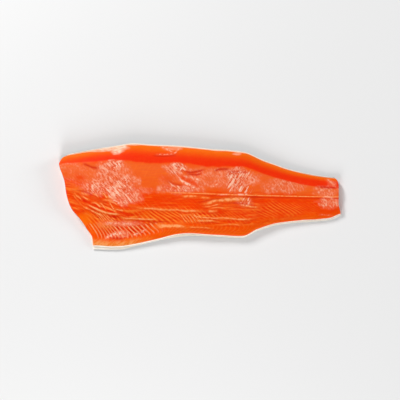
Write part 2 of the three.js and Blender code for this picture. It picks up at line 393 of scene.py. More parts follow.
# %% Creases
LINES["creases"] = [
    ([(84, -34.5), (96, -36.2), (112, -36.6), (128, -37), (142, -38.5), (160, -38), (178, -38.5)], 1.0, 1.0),
    ([(40, -14), (49, -18), (57, -22.3), (66, -26.8), (75, -29.2), (84, -30.6), (94, -31)], 1.4, 1.1),
    ([(28, 1.6), (32.4, -1.4), (37, -5.4), (43, -8)], 1.3, 0.8),
    ([(58, -6.3), (66, -8.4), (74, -9)], 1.6, 0.8),
    ([(18, 9.8), (31, 8.5), (45, 4.7), (58, 0)], 1.2, 0.8),
    ([(40, 1.5), (50, -2), (61, -5.5), (70, -6.5)], 1.0, 0.7),
    ([(36, 48), (44, 46.5), (52, 43.5), (61, 42)], 1.5, 1.0),
    ([(204, -11.5), (222, -7.2), (238, -4.4), (255, -2.8), (273, -1.6), (300, -1.4), (325, -1.8)], 1.2, 1.1),
    ([(250, -9), (273, -9.9), (286, -12.5), (300, -12.5)], 1.2, 0.8),
    ([(163, 23), (174, 18.6), (185, 16.2), (190, 16.8)], 1.4, 0.7),
    ([(189, 38.7), (201, 36), (212, 37.5), (222, 39.4)], 1.1, 0.9),
    ([(194, 34.5), (203, 32.8), (211, 32.4), (218, 34.5)], 1.0, 0.9),
    ([(236, 38), (244, 40.3), (252, 41), (260, 40.5)], 1.3, 1.1),
    ([(257, 37.3), (270, 36.7), (287, 36.6)], 1.1, 1.0),
    ([(394, 14.5), (410, 13.4), (426, 13)], 1.1, 0.9),
    ([(76, -63.4), (88, -64.6), (99, -64.2)], 1.3, 0.8),
    ([(143, 61.6), (160, 60.8), (180, 62.4)], 1.6, 0.7),
]
print(len(LINES["creases"]), "creases are placed.")

# %% Wisps of film with painted glints, and reddened lines
LINES["wisps"] = [
    ([(179, 30), (188, 22), (197, 17.8), (206, 13.7), (212, 11)], 1.5, 1.1),
    ([(197, 30), (206, 27), (217, 24)], 1.9, 0.8),
    ([(164, 23.5), (173, 16.6), (186, 13.5)], 0.9, 0.8),
    ([(170, 45), (178, 39), (188, 34)], 2.6, 0.6),
    ([(231, 15), (237, 16), (243, 19.5)], 1.0, 0.8),
    ([(147, 63.3), (163, 63), (178, 64.5)], 1.1, 0.6),
    ([(172, 64.5), (178, 66.5), (186, 74)], 1.1, 0.7),
    ([(155, 75), (166, 71), (174, 68)], 1.6, 0.7),
    ([(68, -64.5), (75, -61), (84, -57.8), (100, -55)], 2.0, 1.0),
    ([(112, -58.3), (123, -54.5), (134, -50.5)], 1.1, 1.1),
    ([(240, 2.4), (252, 2.8), (260, 3)], 0.8, 0.7),
    ([(270, 3), (280, 3), (290, 2.8)], 0.9, 0.9),
    ([(398, -0.5), (408, -1), (417, -1.8), (430, -0.4)], 0.9, 0.7),
    ([(396, -28), (408, -28.3), (419, -30)], 0.8, 0.5),
    ([(407, 25.5), (413, 22.5), (419, 17.5), (425, 13)], 2.0, 0.6),
    ([(78, -4.5), (89, -9), (100, -15)], 1.8, 0.8),
    ([(57, -41.5), (72, -40.5), (90, -40.5), (106, -41.5), (122, -43.5)], 2.6, 0.65),
]
LINES["reddened"] = [
    ([(181, 32), (191, 26.5), (200, 22), (214, 16.5)], 3.2, 1.0),
    ([(188, 37), (200, 34.5), (214, 35)], 2.4, 0.6),
    ([(150, 26), (163, 27), (176, 23)], 4.0, 0.4),
    ([(158, 16), (168, 14), (178, 12)], 1.2, 0.7),
    ([(206, -16), (215, -17.5), (226, -18)], 2.2, 0.8),
    ([(24, 29), (33, 28), (40, 27)], 2.6, 0.8),
    ([(43, -3), (52, -5), (62, -6), (70, -8)], 4.2, 1.0),
    ([(392, -22.5), (412, -23), (430, -20)], 3.8, 1.0),
    ([(58, -65.5), (75, -67), (92, -66.5), (104, -64.5)], 1.6, 0.7),
    ([(189, 38.7), (201, 36), (212, 37.5), (222, 39.4)], 1.0, 0.9),
    ([(194, 34), (203, 32.4), (211, 32), (218, 34)], 0.9, 0.9),
    ([(17, 3), (24, -6), (32, -14), (40, -21)], 5.0, 0.6),
]
print(len(LINES["wisps"]), "wisps and", len(LINES["reddened"]), "reddened lines are placed.")

# %% How strongly a line marks a place
LINE_WIDENING = {"plain": 1.45, "uneven": 0.4, "size": 9, "seed": 11}
LINE_WOBBLE = {"far": 0.7, "size": 12, "seed": 12}
LINE_FADE = 3  # how far a line fades out past its ends
LINE_RUN = 0.25  # the share of its length over which it comes up


def line_marks(along, y, kind):
    """How strongly any line of one kind marks a place, 0 off them all."""
    marks = np.zeros_like(along)
    uneven = LINE_WIDENING["uneven"] * soft_noise(along, y, LINE_WIDENING["size"], LINE_WIDENING["seed"])
    widening = LINE_WIDENING["plain"] + uneven
    wobble = LINE_WOBBLE["far"] * soft_noise(along, y, LINE_WOBBLE["size"], LINE_WOBBLE["seed"])
    for keys, half_width, strength in LINES[kind]:
        start, end = keys[0][0], keys[-1][0]
        run = LINE_RUN * (end - start)
        ends = stretch(along, start - LINE_FADE, start + run, end - run, end + LINE_FADE)
        off = y + wobble - through(keys)(along)
        marks = np.maximum(marks, strength * ends * bell(off, half_width * widening))
    return marks


first_keys = LINES["strands"][0][0]
on_strand = line_marks(np.array([first_keys[3][0]], float), np.array([first_keys[3][1]]), "strands")
print("On the first strand the mark is", float(on_strand[0].round(2)))

# %% [markdown]
# ## Folds
# Between the strands the torn muscle lies in many smaller folds. They run along the fish, except
# that near the head they fan out from the cut down to the belly. Noise gives them their places. Where
# it changes sign it draws long thin wandering lines, and stretching it lays them along the fish.

# %% Where the folds lie
FAN = (5, 112)  # the folds fan out between these two places along
FAN_DROP = 34  # how far they come down there
FOLDS_LOW, LOWER_AT_HEAD = -46, 9  # their lower edge, and how much lower it is at the head
FOLDS_TOP_AT_HEAD, FOLDS_TOP = -14, 5  # their upper edge at the head, and further on

fold_strength = through(
    [(0, 0.6), (40, 1), (95, 1), (140, 0.35), (200, 0.4), (250, 0.6), (330, 0.4), (430, 0.1)]
)


def fold_place(along, y):
    """Off the axis as y, but constant along a fold, also where the folds fan out."""
    return y - FAN_DROP * (1 - smoothstep(along, *FAN))


def fold_zone(along, fold):
    """How strongly the flesh is folded at a place, from 0 to 1."""
    low = FOLDS_LOW - LOWER_AT_HEAD * (1 - smoothstep(along, 70, 110))
    top = FOLDS_TOP_AT_HEAD + (FOLDS_TOP - FOLDS_TOP_AT_HEAD) * smoothstep(along, 45, 150)
    return stretch(fold, low, low + 6, top - 2, top + 3) * fold_strength(along)


print("The folds drop", FAN_DROP, "mm between the head cut and the belly.")

# %% Ridges and furrows
FOLD_KINDS = [  # each shows where a broader noise, in lumps, is high enough
    {"length": 52, "width": 6.5, "height": 1, "lump": 34, "shown": (-0.6, 0.3), "seeds": (63, 61)},
    {"length": 34, "width": 4.2, "height": 0.8, "lump": 27, "shown": (-0.4, 0.5), "seeds": (65, 62)},
]
LINE_HALF_WIDTH = 0.55  # of a thin line, on the noise's own scale
FOLDS_TO_STRANDS = 0.45  # how high folds are beside strands
BELOW_RIDGE = 1.7  # from a ridge to the furrow beside it
FURROW_TO_RIDGE = 0.8


def thin_lines(x, y, seed):
    """Thin wandering lines, 1 on a line. Stretching x or y stretches them."""
    value = soft_noise(x, y, 1, seed) + 0.4 * soft_noise(x + 0.37, y + 0.61, 0.5, seed + 1)
    return np.maximum(0, 1 - np.abs(value) / LINE_HALF_WIDTH) ** 2.5


def folds(along, y):
    """How strongly a raised fold marks a place, from 0 to 1."""
    fold = fold_place(along, y)
    raised = np.zeros_like(along)
    for kind in FOLD_KINDS:
        line_seed, lump_seed = kind["seeds"]
        lines = thin_lines(along / kind["length"], fold / kind["width"], line_seed)
        shown = smoothstep(soft_noise(along, fold * 2, kind["lump"], lump_seed), *kind["shown"])
        raised = np.maximum(raised, kind["height"] * lines * shown)
    return fold_zone(along, fold) * raised


def ridges_at(along, y):
    """Strands and folds together."""
    return np.maximum(line_marks(along, y, "strands"), FOLDS_TO_STRANDS * folds(along, y))


def furrows_at(along, y):
    """Creases, and the furrow just below each ridge."""
    beside = ridges_at(along, y + BELOW_RIDGE)
    return np.maximum(line_marks(along, y, "creases"), FURROW_TO_RIDGE * beside)


print("Folds come in", len(FOLD_KINDS), "sizes, each with a furrow below it.")

# %% [markdown]
# ## Patches
# Some things lie on the flesh in patches: a moist veil painted as sheen, pale strokes of painted
# glare from the film that it was wrapped in, flakes that are combed apart, a golden tinge towards
# the belly, and pale patches along the back. Each patch is an ellipse with a ragged edge.

# %% Patches on the flesh
PATCHES = {  # along, off the axis, half length, half width, strength
    "veiled": [
        (80, 37, 28, 20, 0.9), (85, 48, 15, 10, 1.4), (86, 20, 38, 20, 0.95), (58, 14, 30, 12, 1.0),
        (100, 8, 29, 17, 1.0), (106, -3, 20, 12, 0.9), (130, 9, 18, 6, 0.25), (36, 30, 32, 20, 0.25),
        (14, 46, 18, 12, 0.35), (180, 41, 20, 9, 1.2), (232, 26, 76, 18, 0.5), (222, 27, 34, 15, 0.5),
        (274, 26, 27, 21, 1.05), (340, 15, 34, 14, 0.6), (410, 7, 22, 10, 0.8), (411, -10, 21, 11, 1.0),
        (417, 19, 9, 6, 0.5), (182, 11, 36, 8, 0.8), (96, -57, 13, 5, 0.8), (96, -41, 34, 4, 0.7),
        (282, -10, 14, 7, 0.8),
    ],
    "stroked": [
        (80, 37, 22, 17, 0.7), (86, 20, 34, 18, 1.0), (100, 8, 27, 16, 1.0), (106, -3, 18, 11, 0.8),
        (85, 48, 14, 10, 1.4), (58, 13, 28, 10, 0.9), (130, 9, 14, 5, 0.4), (338, 16, 22, 9, 0.4),
        (181, 40, 16, 10, 1.3), (190, 28, 12, 5, 0.9), (163, 21, 15, 9, 0.3), (206, 21, 12, 5, 0.8),
        (184, 11, 26, 5, 0.8), (273, 27, 22, 18, 1.25), (280, 12, 20, 9, 1.2), (283, -8, 13, 7, 1.0),
        (410, -9, 12, 7, 0.3), (98, -55, 10, 4, 0.5),
    ],
    "combed": [
        (158, -30, 36, 13, 0.75), (218, -32, 36, 10, 0.7), (120, -34, 40, 12, 0.3), (215, -52, 62, 9, 0.15),
        (80, -42, 24, 14, 0.35), (268, -33, 26, 12, 0.2), (62, -33, 18, 8, 0.5), (335, -20, 46, 12, 0.5),
    ],
    "golden": [
        (38, -35, 15, 12, 1.0), (22, 6, 12, 14, 0.3), (66, -44, 20, 7, 0.9), (104, -28, 22, 6, 0.5),
        (60, -52, 20, 8, 0.4), (140, -48, 14, 5, 0.5), (62, -31, 18, 7, 0.5), (156, -30, 36, 11, 0.65),
    ],
    "back_pale": [
        (76, 72, 20, 5, 0.9), (88, 69, 12, 7, 1.2), (93, 74.5, 12, 6.5, 1.1), (116, 79, 20, 2, 0.5),
        (172, 73, 14, 4, 0.35), (50, 69, 40, 2, 0.6), (271, 64.5, 7, 2.5, 0.5),
    ],
}
PATCH_SEEDS = {"veiled": 41, "stroked": 43, "combed": 45, "golden": 53, "back_pale": 51}


def patches(along, y, kind):
    """1 inside the patches of one kind, fading out at their ragged edges."""
    mark = np.zeros_like(along)
    seed = PATCH_SEEDS[kind]
    ragged = 0.3 * soft_noise(along, y, 12, seed) + 0.15 * soft_noise(along, y, 4, seed + 1)
    for spot_along, spot_y, half_length, half_width, strength in PATCHES[kind]:
        reach = np.hypot((along - spot_along) / half_length, (y - spot_y) / half_width)
        mark = np.maximum(mark, strength * (1 - smoothstep(reach + ragged, 0.5, 1.15)))
    return mark


print(sum(len(spots) for spots in PATCHES.values()), "patches are placed.")

# %% [markdown]
# ## Relief
# The seams are fine grooves, and much deeper ones lie between the ribs' places on the belly flap.
# Everything is added up as one height field. A displacement modifier could do this from a texture,
# but heights worked out at the points themselves follow the flakes exactly.

# %% How clear the flakes are
CLOSER_RIBS, WIDER_FROM = 0.45, 13  # more ribs for each flake, up to this flake number

clear_across = through(
    [(-1, 0.05), (-0.93, 0.15), (-0.86, 0.4), (-0.62, 0.5), (-0.52, 0.9), (-0.42, 1), (-0.3, 0.45),
     (-0.2, 0.2), (-0.05, 0.12), (0.1, 0.08), (0.45, 0.16), (0.62, 0.1), (0.7, 0.02), (1, 0)]
)


def flake_clearness(along, across):
    """How clearly the flakes show at a place, from 0 to 1."""
    y = off_axis(along, across)
    patchy = 0.8 + 0.45 * soft_noise(along, y, 19, 3)
    from_head = along - cut_at(head_cut, across, 1)
    calm = stretch(along, 205, 245, 300, 330) * smoothstep(y, -36, -24)
    towards_tail = 1 - 0.5 * smoothstep(along, 255, 330)
    return clear_across(across) * patchy * smoothstep(from_head, 6, 45) * towards_tail * (1 - 0.65 * calm)


def rib_furrows(along, across):
    """1 on the belly flap where the ribs lay, 0 elsewhere."""
    from_head = along - cut_at(head_cut, across, 1)
    band = stretch(-across, 0.61, 0.66, 0.82, 0.88)
    return band * smoothstep(from_head, 4, 11) * (1 - smoothstep(along, 142, 165))


def rib_number(number):
    """Like the flake number, but whole between two ribs. Near the head these lay closer."""
    return number + CLOSER_RIBS * np.minimum(number - WIDER_FROM, 0)


flap_row = rib_number(flake_number(np.array([54.0, 154]), np.full(2, -0.74)))
print("The ribs left", round(float(flap_row[1] - flap_row[0])), "furrows on the belly flap.")

# %% Relief of the flesh
DEPTHS = {"seam": 0.45, "combed": 0.3, "rib": 1.2, "midline": 0.7, "furrow": 0.65}
HEIGHTS = {"ridge": 0.5, "wisp": 0.35, "lump": 0.28, "small lump": 0.12}
SEAM_HALF_WIDTH = 0.13  # as a share of a flake
MIDLINE_HALF_WIDTH = 2.0


def relief(along, across, number):
    """How far the fine relief stands above the plain height."""
    y = off_axis(along, across)
    seam = from_seam(number)
    ribs = rib_furrows(along, across)
    thin = 0.35 * (1 - 2 * seam) + 0.65 * bell(seam, SEAM_HALF_WIDTH)
    broad = (0.5 + 0.5 * np.cos(2 * np.pi * rib_number(number))) ** 0.5
    depth = DEPTHS["seam"] * flake_clearness(along, across) * (1 - ribs) * thin
    depth += DEPTHS["combed"] * patches(along, y, "combed") * (1 - 2 * seam)
    depth += DEPTHS["rib"] * ribs * broad * (1 + 0.3 * soft_noise(along, y, 9, 7))
    depth += DEPTHS["midline"] * bell(y - midline(along), MIDLINE_HALF_WIDTH)
    depth += DEPTHS["furrow"] * furrows_at(along, y)
    rise = HEIGHTS["ridge"] * ridges_at(along, y) + HEIGHTS["wisp"] * line_marks(along, y, "wisps")
    rise += HEIGHTS["lump"] * soft_noise(along, y, 16, 1) + HEIGHTS["small lump"] * soft_noise(along, y, 6, 2)
    return rise - depth


middle, on_midline = np.array([LENGTH / 2]), np.zeros(1)
groove = relief(middle, on_midline, flake_number(middle, on_midline))
print("In the midline's groove the relief is", groove.round(2), "mm.")

# %% [markdown]
# ## Body of flesh
# The top is a grid of places along and across, close together at the edges, where it rounds over.
# At each cut the grid goes on straight down to the skin, and the underside is a coarser grid, as
# nobody sees it. A strip of triangles joins the fine rim to the coarse one, which closes the body.

# %% Grid of the top
ROWS_ALONG = 500
HALF_ACROSS = 86
EDGE_ROUND = 0.034  # how much of the way across rounds over at each edge
CUT_ROUND = {"drop": 0.5, "reach": 1.4}  # how far the top drops at a cut, and from how far off
FLESH_OVER_SKIN = 0.05
LEAST_FLESH = 0.2
EDGE_WAVE = 0.5  # how far the long edges of the flesh wave in and out

near_edge = np.array([0, 0.0015, 0.005, 0.01, 0.016, 0.023, 0.031])  # closer where it rounds over
inner = np.linspace(0.04, 1, HALF_ACROSS - len(near_edge))
half = 1 - np.concatenate([near_edge, inner])
places_across = np.concatenate([half, -half[-2::-1]])
near_cut = np.array([0, 0.0006, 0.0014, 0.0025])  # closer at the cuts too
steps = np.linspace(0.004, 0.996, ROWS_ALONG - 2 * len(near_cut))
places_along = np.concatenate([near_cut, steps, 1 - near_cut[::-1]])


def flesh_place(share, across):
    """Place and flake number of points on the top, from share 0 at the head cut to 1 at the tail cut."""
    start, end = cut_at(head_cut, across, 1), cut_at(tail_cut, across, 1)
    flat = start + (end - start) * share
    number = flake_number(flat, across)
    full = plain_height(flat, across) + relief(flat, across, number)
    skin_top = underside(flat, across) + SKIN
    rounding = np.sqrt(1 - (1 - np.clip((1 - np.abs(across)) / EDGE_ROUND, 0, 1)) ** 2)
    from_cut = np.minimum(flat - start, end - flat)
    drop = CUT_ROUND["drop"] * (1 - smoothstep(from_cut, 0, CUT_ROUND["reach"]))
    flesh = np.maximum(full - drop - skin_top, LEAST_FLESH) * rounding
    height = skin_top + FLESH_OVER_SKIN + flesh
    lean = CUT_LEAN["head"] * height * (1 - share) + CUT_LEAN["tail"] * height * share
    wave = EDGE_WAVE * soft_noise(flat, across * 40, 15, 21) * smoothstep(np.abs(across), 0.85, 1)
    return flat, flat + lean, off_axis(flat, across, 1) + wave, height, number


share_grid, across_grid = np.meshgrid(places_along, places_across, indexing="ij")
flat, top_x, top_y, top_z, top_number = flesh_place(share_grid, across_grid)
print("The top has", top_z.size, "points, up to", round(float(top_z.max()), 1), "mm high.")

# %% Cut faces
CUT_ROWS = 12
CUT_DEPTH = 0.1  # how far a cut of the flesh reaches into the skin
CUT_STEPS = {"flake": 0.28, "lump": 0.2}  # how far flakes and lumps stand out of a cut
FULL_STEPS_FROM = 4  # the height of flesh from which they stand out fully


def cut_face(row, lean):
    """Points of a cut, from just under the top's edge down to the skin, with flake number and depth."""
    depth = np.linspace(0, 1, CUT_ROWS + 1)[1:, None]
    across = places_across[None, :]
    skin_top = underside(flat[row], places_across) + SKIN - CUT_DEPTH
    z = top_z[row] + (skin_top - top_z[row]) * depth
    number = flake_number(flat[row][None, :], across, depth)
    step = CUT_STEPS["flake"] * (from_seam(number) - 0.25)
    step = step + CUT_STEPS["lump"] * soft_noise(across * 70, z, 5, 31)
    tall = np.clip((top_z[row] - skin_top) / FULL_STEPS_FROM, 0, 1)
    x = flat[row] + lean * z - np.sign(lean) * step * tall * np.sin(np.pi * depth) ** 0.5
    return x, np.broadcast_to(top_y[row], z.shape), z, number, np.broadcast_to(depth, z.shape)


head_face = cut_face(0, CUT_LEAN["head"])
tail_face = cut_face(-1, CUT_LEAN["tail"])
print("Each cut has", head_face[0].size, "points.")

# %% Underside
UNDER_ACROSS = 12
UNDER_REACH = 0.985  # how far across the underside goes
UNDER_INSET = 1.5  # from each cut
UNDER_DEPTH = 0.15  # how far it lies in the skin

under_across = np.linspace(-UNDER_REACH, UNDER_REACH, UNDER_ACROSS)
under_share, under_side = np.meshgrid(places_along, under_across, indexing="ij")
under_start = cut_at(head_cut, under_side, 1) + UNDER_INSET
under_end = cut_at(tail_cut, under_side, 1) - UNDER_INSET
under_along = under_start + (under_end - under_start) * under_share
under_y = off_axis(under_along, under_side, 1)
under_z = underside(under_along, under_side) + SKIN - UNDER_DEPTH
print("The underside has", under_z.size, "points.")

# %% Join the grids to one closed mesh
def grid_faces(index):
    """Four-sided faces of a grid of point numbers."""
    corners = (index[:-1, :-1], index[1:, :-1], index[1:, 1:], index[:-1, 1:])
    return np.stack(corners, -1).reshape(-1, 4).tolist()


def zip_rows(one, other):
    """Triangles between two rows of points that run the same way but have different counts."""
    faces, i, j = [], 0, 0
    while i + 1 < len(one) or j + 1 < len(other):
        if j + 1 == len(other) or (i + 1 < len(one) and (i + 1) / len(one) <= (j + 1) / len(other)):
            faces.append((one[i], one[i + 1], other[j]))
            i += 1
        else:
            faces.append((one[i], other[j + 1], other[j]))
            j += 1
    return faces


top_count, face_count = top_z.size, head_face[0].size
top_index = np.arange(top_count).reshape(top_z.shape)
head_index = top_count + np.arange(face_count).reshape(head_face[0].shape)
tail_index = head_index + face_count
under_index = top_count + 2 * face_count + np.arange(under_z.size).reshape(under_z.shape)

faces = grid_faces(top_index[:, ::-1])
faces += grid_faces(np.vstack([top_index[0], head_index]))
faces += grid_faces(np.vstack([top_index[-1], tail_index])[:, ::-1])
faces += grid_faces(under_index[:, ::-1])
faces += grid_faces(np.column_stack([top_index[:, -1], under_index[:, 0]])[:, ::-1])
faces += grid_faces(np.column_stack([under_index[:, -1], top_index[:, 0]])[:, ::-1])
for rim, fan, turned in ((head_index, under_index[0], 1), (tail_index, under_index[-1], -1)):
    edge_top = top_index[0] if turned == 1 else top_index[-1]
    chain = [edge_top[-1], *rim[:-1, -1], *rim[-1, ::-1], *rim[-2::-1, 0], edge_top[0]]
    faces += [face[::turned] for face in zip_rows(chain, fan)]
print("The flesh has", len(faces), "faces.")

# %% [markdown]
# ## Marks that the finish needs
# The finish is made of shader nodes, and these only know what the mesh tells them. Each point
# therefore carries a few numbers: its flake number, its place across, how much fat or painted crease
# shade is there, and how deep it lies in a cut face. They are stored as named attributes.

# %% Marks of a place
# Painted shade: the crease shade mark darkens the creases, the furrow below each ridge, a line just below the
# midline and the lower side of each strand.
SEPTUM_HALF_WIDTH = 0.9  # of the pale line on the midline
BELOW_MIDLINE = {"far": 2.4, "half width": 1.1}  # the red line beside it
BELOW_STRAND = 2.3  # from a strand to its shaded side

band_edge = through(  # where the red band along the back starts, across
    [(0, 0.68), (20, 0.665), (45, 0.66), (64, 0.668), (84, 0.665), (100, 0.625), (115, 0.605),
     (150, 0.61), (184, 0.63), (200, 0.625), (217, 0.6), (238, 0.605), (255, 0.635), (288, 0.65),
     (400, 0.45), (430, 0.43)]
)


def marks_of(along, across, y, number, depth):
    """Everything that the finish needs to know about a place on the flesh."""
    off_midline = y - midline(along)
    septum = bell(off_midline, SEPTUM_HALF_WIDTH) * smoothstep(along, 130, 200)
    below = bell(y + BELOW_MIDLINE["far"] - midline(along), BELOW_MIDLINE["half width"])
    below = below * smoothstep(along, 200, 230)
    shaded = line_marks(along, y + BELOW_STRAND, "strands")
    red = line_marks(along, y, "reddened")
    ribs = rib_furrows(along, across)
    band_start, band_full = band_edge(along) - 0.02, band_edge(along) + 0.035
    band = smoothstep(across + 0.015 * soft_noise(along, y, 9, 71), band_start, band_full)
    off_band = 1 - band * (1 - smoothstep(along, 360, 390))
    return {
        "flake": number,
        "across": across,
        "fold": fold_place(along, y),
        "folded": fold_zone(along, fold_place(along, y)),
        "depth": depth,
        "ribs": ribs,
        "rib": rib_number(number),
        "clear": flake_clearness(along, across),
        "band": band,
        "combed": patches(along, y, "combed"),
        "belly_fat": smoothstep(-across, 0.84, 0.97) * (1 - smoothstep(along, 100, 150)),
        "fat": np.maximum(ridges_at(along, y) * (1 - 0.5 * red), 0.8 * septum),
        # painted shade in creases, and below ridges, strands and the midline
        "crease": np.maximum.reduce([furrows_at(along, y), 0.7 * below, 0.6 * shaded]),
        "veiled": patches(along, y, "veiled") * off_band,
        "stroked": patches(along, y, "stroked") * off_band * (1 - 0.9 * red),
        "back_pale": patches(along, y, "back_pale"),
        "golden": patches(along, y, "golden"),
        "wisps": line_marks(along, y, "wisps"),
        "red": red,
        "rib_red": ribs * smoothstep(along, 46, 72) * (1 - smoothstep(along, 122, 160)),
        "from_cut": np.minimum(along - cut_at(head_cut, across, 1), cut_at(tail_cut, across, 1) - along),
    }


band_row = band_edge(np.array([0, 215, LENGTH])).round(2)
print("The band along the back starts at", band_row, "across, from head to tail.")

# %% Marks on the flesh
def stack(*parts):
    """The values of several parts, one after another."""
    return np.concatenate([np.ravel(part) for part in parts])


def spread(values, like):
    """Values repeated until they have the shape of others."""
    return np.broadcast_to(values, like.shape)


flesh_x = stack(top_x, head_face[0], tail_face[0], under_along)
flesh_y = stack(top_y, head_face[1], tail_face[1], under_y)
flesh_z = stack(top_z, head_face[2], tail_face[2], under_z)
face_across = spread(places_across, head_face[0])
flesh_marks = marks_of(
    stack(flat, spread(flat[0], head_face[0]), spread(flat[-1], tail_face[0]), under_along),
    stack(across_grid, face_across, face_across, under_side),
    flesh_y,
    stack(top_number, head_face[3], tail_face[3], flake_number(under_along, under_side, 1)),
    stack(np.zeros(top_count), head_face[4], tail_face[4], np.ones(under_z.size)),
)
print("Each point of the flesh carries", ", ".join(flesh_marks), "as numbers.")

# %% Make the flesh object
SHARP_ANGLE = math.radians(50)
head_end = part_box("salmon_fillet")[0].x


def make_piece(name, x, y, z, faces, marks):
    """A smooth mesh object from coordinates in millimetres from the head end, with its marks."""
    mesh = bpy.data.meshes.new(name)
    points = np.column_stack([head_end + x * MM, y * MM, z * MM])
    mesh.from_pydata(points.tolist(), [], [tuple(int(i) for i in face) for face in faces])
    mesh.validate()
    for mark, values in marks.items():
        attribute = mesh.attributes.new(mark, "FLOAT", "POINT")
        attribute.data.foreach_set("value", np.ascontiguousarray(values, np.float32))
    mesh.shade_smooth()
    mesh.set_sharp_from_angle(angle=SHARP_ANGLE)
    piece = bpy.data.objects.new(name, mesh)
    bpy.context.collection.objects.link(piece)
    return piece


flesh = make_piece("salmon_flesh", flesh_x, flesh_y, flesh_z, faces, flesh_marks)
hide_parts("salmon_fillet")
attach(flesh, "root")
print("The flesh is made of", len(flesh.data.vertices), "points.")

# %% Compare the flesh with the solid
TEST_EVERY = 37  # of the top's points

solid_points = [vertex.co for vertex in solid.data.vertices]
solid_faces = [tuple(face.vertices) for face in solid.data.polygons]
solid_surface = BVHTree.FromPolygons(solid_points, solid_faces)
tested = [flesh.data.vertices[i].co for i in range(0, top_count, TEST_EVERY)]
gaps = [solid_surface.find_nearest(point)[3] / MM for point in tested]
print("The top is", round(float(np.mean(gaps)), 2), "mm from the solid on average,")
print("and", round(max(gaps), 2), "mm at most.")

# %% [markdown]
# ## Skin
# The skin is a thin sheet under the flesh. It shows as a pale rim beyond the belly and the back,
# and all over the underside. It is a closed sheet of its own, made of loops that go round it from
# the back edge under the fillet to the belly edge and back over the top.

# %% Loops round the skin
SKIN_ALONG = 300
SKIN_UNDER = 84
SKIN_OVER = 40
SKIN_EDGE = 5  # points round each edge

edge_turn = np.linspace(0, np.pi, SKIN_EDGE + 2)[1:-1]
loop_across = np.concatenate(
    [np.linspace(1, -1, SKIN_UNDER), np.full(SKIN_EDGE, -1.0), np.linspace(-1, 1, SKIN_OVER),
     np.full(SKIN_EDGE, 1.0)]
)
loop_rise = np.concatenate(
    [np.zeros(SKIN_UNDER), (1 - np.cos(edge_turn)) / 2, np.ones(SKIN_OVER), (1 + np.cos(edge_turn)) / 2]
)
loop_out = np.concatenate(
    [np.zeros(SKIN_UNDER), -np.sin(edge_turn), np.zeros(SKIN_OVER), np.sin(edge_turn)]
)
print("Each of the", SKIN_ALONG, "loops has", len(loop_across), "points.")

# %% Skin sheet
DRAWN_IN = 40  # over the last 40th of the way across, the sheet makes room for its round edge

skin_share, skin_across = np.meshgrid(np.linspace(0, 1, SKIN_ALONG), loop_across, indexing="ij")
skin_start, skin_end = cut_at(head_cut, skin_across, 0), cut_at(tail_cut, skin_across, 0)
skin_flat = skin_start + (skin_end - skin_start) * skin_share
skin_z = underside(skin_flat, skin_across) + SKIN * loop_rise
skin_y = off_axis(skin_flat, skin_across, 0) + (SKIN / 2) * loop_out
near_rim = np.clip(np.abs(skin_across) * DRAWN_IN - (DRAWN_IN - 1), 0, 1)
skin_y = skin_y - (SKIN / 2) * near_rim * np.sign(skin_across)
skin_lean = CUT_LEAN["head"] * (1 - skin_share) + CUT_LEAN["tail"] * skin_share
skin_x = skin_flat + skin_lean * skin_z

skin_index = np.arange(skin_z.size).reshape(skin_z.shape)
skin_faces = grid_faces(np.column_stack([skin_index, skin_index[:, 0]]))
for end, turned in ((skin_index[0], -1), (skin_index[-1], 1)):
    lower = end[:SKIN_UNDER][::-1].tolist()
    upper = end[SKIN_UNDER:].tolist()
    skin_faces += [face[::turned] for face in zip_rows(lower, upper)]
skin_marks = {
    "across": skin_across,
    "along": skin_flat,
    "outer": spread(1 - loop_rise, skin_across),
    "flank": skin_y - midline(skin_flat),
}
skin = make_piece(
    "salmon_skin", *(part.ravel() for part in (skin_x, skin_y, skin_z)), skin_faces,
    {mark: np.ravel(values) for mark, values in skin_marks.items()},
)
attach(skin, "root")
print("The skin has", len(skin_faces), "faces.")

# %% [markdown]
# ## Drawing with shader nodes
# A finish is a small drawing made of nodes. Writing each node by hand takes four lines, so a few
# helpers place a node, set its sockets or link them, and give its output.

# %% Drawing with nodes
class Drawing:
    """Draws with nodes in one tree. Most calls place a node and give its output."""

    def __init__(self, tree):
        self.tree = tree

    def feed(self, socket, value):
        """Links a socket to another, or sets it to a plain value."""
        if isinstance(value, bpy.types.NodeSocket):
            self.tree.links.new(value, socket)
        else:
            socket.default_value = value

    def add(self, kind, *values, **settings):
        """Places a node, sets what is named, and feeds its first inputs."""
        node = self.tree.nodes.new("ShaderNode" + kind)
        for setting, value in settings.items():
            setattr(node, setting, value)
        for socket, value in zip(node.inputs, values):
            self.feed(socket, value)
        return node

    def fill(self, node, **values):
        """Feeds the inputs of these names, with _ for each space, and gives the node's outputs."""
        for name, value in values.items():
            self.feed(node.inputs[name.replace("_", " ")], value)
        return node.outputs

    def use(self, group, **values):
        """Places a group and feeds its inputs."""
        return self.fill(self.add("Group", node_tree=group.tree), **values)

    def mark(self, name):
        """A number that each point of the mesh carries."""
        return self.add("Attribute", attribute_name=name).outputs["Fac"]

    def noise(self, place, scale, detail=3.0, roughness=0.5):
        node = self.add("TexNoise")
        return self.fill(node, Vector=place, Scale=scale, Detail=detail, Roughness=roughness)["Fac"]

    def sums(self, operation, *values, clamp=False):
        """One step of arithmetic."""
        return self.add("Math", *values, operation=operation, use_clamp=clamp).outputs[0]

    def times(self, *values, clamp=False):
        """The product of two or more values."""
        product = values[0]
        for value in values[1:-1]:
            product = self.sums("MULTIPLY", product, value)
        return self.sums("MULTIPLY", product, values[-1], clamp=clamp)

    def ease(self, value, start, end, low=0.0, high=1.0):
        """A value from low to high while the input goes from start to end, eased at both ends."""
        node = self.add("MapRange", value, start, end, low, high, interpolation_type="SMOOTHSTEP")
        return node.outputs[0]


print("A drawing can", ", ".join(way for way in vars(Drawing) if not way.startswith("_")))

# %% [markdown]
# ## Painting in layers
# The colour of a finish is painted in layers, each over what is there already, with a share from
# 0 to 1 that says how well it covers. One layer can be changed, moved or left out on its own.

